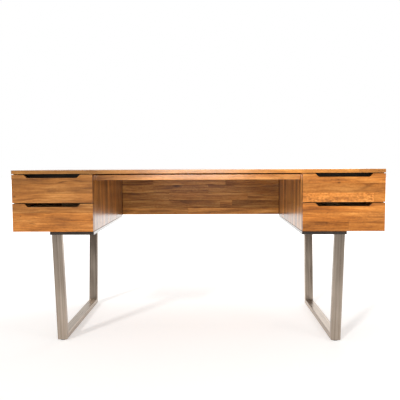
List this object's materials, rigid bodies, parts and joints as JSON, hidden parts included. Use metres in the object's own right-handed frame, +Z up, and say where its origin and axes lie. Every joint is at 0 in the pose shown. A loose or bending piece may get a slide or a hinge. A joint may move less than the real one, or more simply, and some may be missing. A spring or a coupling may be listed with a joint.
{
  "type": "writing desk",
  "caption": "Wooden writing desk: thin top on hung drawer pedestals with cut-out finger pulls, slim apron and modesty panel, on splayed sled legs of brushed steel tube.",
  "frame": {"origin": "on the floor, under the middle of the desk", "axes": "+X along the desk to the right as a person faces the drawer fronts, +Y towards the modesty panel at the back, +Z up"},
  "size_m": [1.6, 0.72, 0.768],
  "materials": {
    "honey_hardwood": "edge-glued hardwood staves, honey-brown oil stain under satin lacquer",
    "pale_drawer_wood": "pale drawer-side wood, thin clear lacquer",
    "dark_stained_board": "board stained near black, matt",
    "brushed_steel": "bare steel tube, lengthwise brushed, clear coated",
    "zinc_plated_steel": "pressed steel, bright zinc plate",
    "black_nylon": "moulded nylon, matt",
    "grey_felt": "pressed felt"
  },
  "bodies": {
    "frame": {"bumper_dots": "grey_felt", "desk_top": "honey_hardwood", "floor_glides": "black_nylon", "front_apron": "honey_hardwood", "left_foot_bar": "brushed_steel", "left_front_upright": "brushed_steel", "left_inner_side": "honey_hardwood", "left_leg_flanges": "brushed_steel", "left_mounting_board": "dark_stained_board", "left_outer_side": "honey_hardwood", "left_pedestal_back": "honey_hardwood", "left_pedestal_floor": "honey_hardwood", "left_rear_upright": "brushed_steel", "left_top_rails": "dark_stained_board", "leg_screws": "zinc_plated_steel", "lower_left_cabinet_runners": "zinc_plated_steel", "lower_right_cabinet_runners": "zinc_plated_steel", "modesty_panel": "honey_hardwood", "right_foot_bar": "brushed_steel", "right_front_upright": "brushed_steel", "right_inner_side": "honey_hardwood", "right_leg_flanges": "brushed_steel", "right_mounting_board": "dark_stained_board", "right_outer_side": "honey_hardwood", "right_pedestal_back": "honey_hardwood", "right_pedestal_floor": "honey_hardwood", "right_rear_upright": "brushed_steel", "right_top_rails": "dark_stained_board", "top_screws": "zinc_plated_steel", "upper_left_cabinet_runners": "zinc_plated_steel", "upper_right_cabinet_runners": "zinc_plated_steel"},
    "lower_left_drawer": {"lower_left_drawer_back": "pale_drawer_wood", "lower_left_drawer_bottom": "pale_drawer_wood", "lower_left_drawer_front": "honey_hardwood", "lower_left_drawer_left_side": "pale_drawer_wood", "lower_left_drawer_right_side": "pale_drawer_wood", "lower_left_drawer_runners": "zinc_plated_steel"},
    "lower_left_middle_runner": {"lower_left_middle_runners": "zinc_plated_steel"},
    "lower_right_drawer": {"lower_right_drawer_back": "pale_drawer_wood", "lower_right_drawer_bottom": "pale_drawer_wood", "lower_right_drawer_front": "honey_hardwood", "lower_right_drawer_left_side": "pale_drawer_wood", "lower_right_drawer_right_side": "pale_drawer_wood", "lower_right_drawer_runners": "zinc_plated_steel"},
    "lower_right_middle_runner": {"lower_right_middle_runners": "zinc_plated_steel"},
    "upper_left_drawer": {"upper_left_drawer_back": "pale_drawer_wood", "upper_left_drawer_bottom": "pale_drawer_wood", "upper_left_drawer_front": "honey_hardwood", "upper_left_drawer_left_side": "pale_drawer_wood", "upper_left_drawer_right_side": "pale_drawer_wood", "upper_left_drawer_runners": "zinc_plated_steel"},
    "upper_left_middle_runner": {"upper_left_middle_runners": "zinc_plated_steel"},
    "upper_right_drawer": {"upper_right_drawer_back": "pale_drawer_wood", "upper_right_drawer_bottom": "pale_drawer_wood", "upper_right_drawer_front": "honey_hardwood", "upper_right_drawer_left_side": "pale_drawer_wood", "upper_right_drawer_right_side": "pale_drawer_wood", "upper_right_drawer_runners": "zinc_plated_steel"},
    "upper_right_middle_runner": {"upper_right_middle_runners": "zinc_plated_steel"}
  },
  "joints": [
    {"name": "lower_left_drawer_slide", "type": "slide", "parent": "frame", "child": "lower_left_drawer", "axis": [0, -1, 0], "range_m": [0, 0.5]},
    {"name": "lower_left_middle_runner_slide", "type": "slide", "parent": "frame", "child": "lower_left_middle_runner", "axis": [0, -1, 0], "range_m": [0, 0.25]},
    {"name": "lower_right_drawer_slide", "type": "slide", "parent": "frame", "child": "lower_right_drawer", "axis": [0, -1, 0], "range_m": [0, 0.5]},
    {"name": "lower_right_middle_runner_slide", "type": "slide", "parent": "frame", "child": "lower_right_middle_runner", "axis": [0, -1, 0], "range_m": [0, 0.25]},
    {"name": "upper_left_drawer_slide", "type": "slide", "parent": "frame", "child": "upper_left_drawer", "axis": [0, -1, 0], "range_m": [0, 0.5]},
    {"name": "upper_left_middle_runner_slide", "type": "slide", "parent": "frame", "child": "upper_left_middle_runner", "axis": [0, -1, 0], "range_m": [0, 0.25]},
    {"name": "upper_right_drawer_slide", "type": "slide", "parent": "frame", "child": "upper_right_drawer", "axis": [0, -1, 0], "range_m": [0, 0.5]},
    {"name": "upper_right_middle_runner_slide", "type": "slide", "parent": "frame", "child": "upper_right_middle_runner", "axis": [0, -1, 0], "range_m": [0, 0.25]}
  ],
  "couplings": [
    {"joint": "lower_left_middle_runner_slide", "follows": "lower_left_drawer_slide", "ratio": 0.5},
    {"joint": "lower_right_middle_runner_slide", "follows": "lower_right_drawer_slide", "ratio": 0.5},
    {"joint": "upper_left_middle_runner_slide", "follows": "upper_left_drawer_slide", "ratio": 0.5},
    {"joint": "upper_right_middle_runner_slide", "follows": "upper_right_drawer_slide", "ratio": 0.5}
  ]
}
